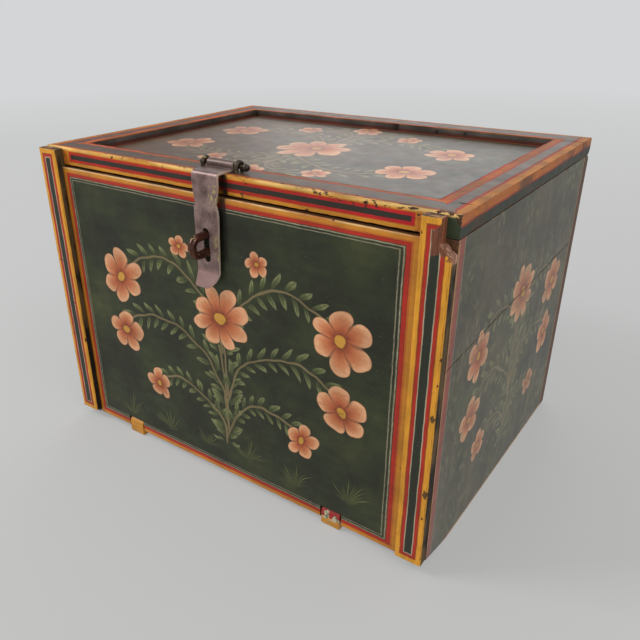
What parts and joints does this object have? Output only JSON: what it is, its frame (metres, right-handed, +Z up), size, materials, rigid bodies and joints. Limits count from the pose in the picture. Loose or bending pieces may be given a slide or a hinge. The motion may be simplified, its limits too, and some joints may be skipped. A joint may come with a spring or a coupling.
{
  "type": "apothecary box",
  "caption": "Painted wooden apothecary box with a recessed lid on rear hinges, a front that drops on wooden knuckles, and an iron hasp over a staple.",
  "frame": {"origin": "under the middle of the box, the staple's reach included, on the surface it stands on", "axes": "+X to the right along the front, +Y from the front to the back, +Z up"},
  "size_m": [0.45, 0.365, 0.3304],
  "materials": {
    "painted_board": "aged satin varnish over dark green paint",
    "painted_border": "aged satin varnish over ochre, red and dark stripes, worn at the edges",
    "plain_wood": "bare, dark with age",
    "inner_wood": "bare, planed",
    "hasp_iron": "forged, brown with age and rubbed at the edges",
    "nail_iron": "dark, dull"
  },
  "bodies": {
    "carcass": {"back_board_lower": "plain_wood", "back_board_upper": "plain_wood", "back_nails": "nail_iron", "base_board": "plain_wood", "base_nails": "nail_iron", "divider_long_1": "inner_wood", "divider_long_2": "inner_wood", "divider_short_1": "inner_wood", "divider_short_2": "inner_wood", "divider_short_3": "inner_wood", "front_knuckle_left": "painted_border", "front_knuckle_pins": "nail_iron", "front_knuckle_right": "painted_border", "partition": "inner_wood", "rear_hinge_pins": "nail_iron", "rear_hinge_wall_leaves": "nail_iron", "rear_hinge_wall_nails": "nail_iron", "shelf": "inner_wood", "shelf_cleat_left": "inner_wood", "shelf_cleat_nails": "nail_iron", "shelf_cleat_right": "inner_wood", "side_plank_left_lower": "painted_board", "side_plank_left_upper": "painted_board", "side_plank_right_lower": "painted_board", "side_plank_right_upper": "painted_board", "stile_left": "painted_border", "stile_nails": "nail_iron", "stile_right": "painted_border", "tray_front": "inner_wood"},
    "lid": {"hasp_eyes": "hasp_iron", "hasp_pin": "hasp_iron", "lid_nails": "nail_iron", "lid_panel": "painted_board", "lid_panel_nails": "nail_iron", "lid_rail_back": "painted_border", "lid_rail_front": "painted_border", "lid_rail_left": "painted_border", "lid_rail_right": "painted_border", "rear_hinge_lid_leaves": "nail_iron", "rear_hinge_lid_nails": "nail_iron"},
    "hasp": {"hasp_strap": "hasp_iron"},
    "drop_front": {"drop_front_board": "painted_board", "staple": "hasp_iron"}
  },
  "joints": [
    {"name": "lid_hinge", "type": "hinge", "parent": "carcass", "child": "lid", "pos_m": [0, 0.1785, 0.3028], "axis": [-1, 0, 0], "range_deg": [0, 100]},
    {"name": "hasp_hinge", "type": "hinge", "parent": "lid", "child": "hasp", "pos_m": [0, -0.1375, 0.32455], "axis": [-1, 0, 0], "range_deg": [0, 195]},
    {"name": "front_hinge", "type": "hinge", "parent": "carcass", "child": "drop_front", "pos_m": [0, -0.1508, 0.0126], "axis": [1, 0, 0], "range_deg": [0, 85]}
  ]
}
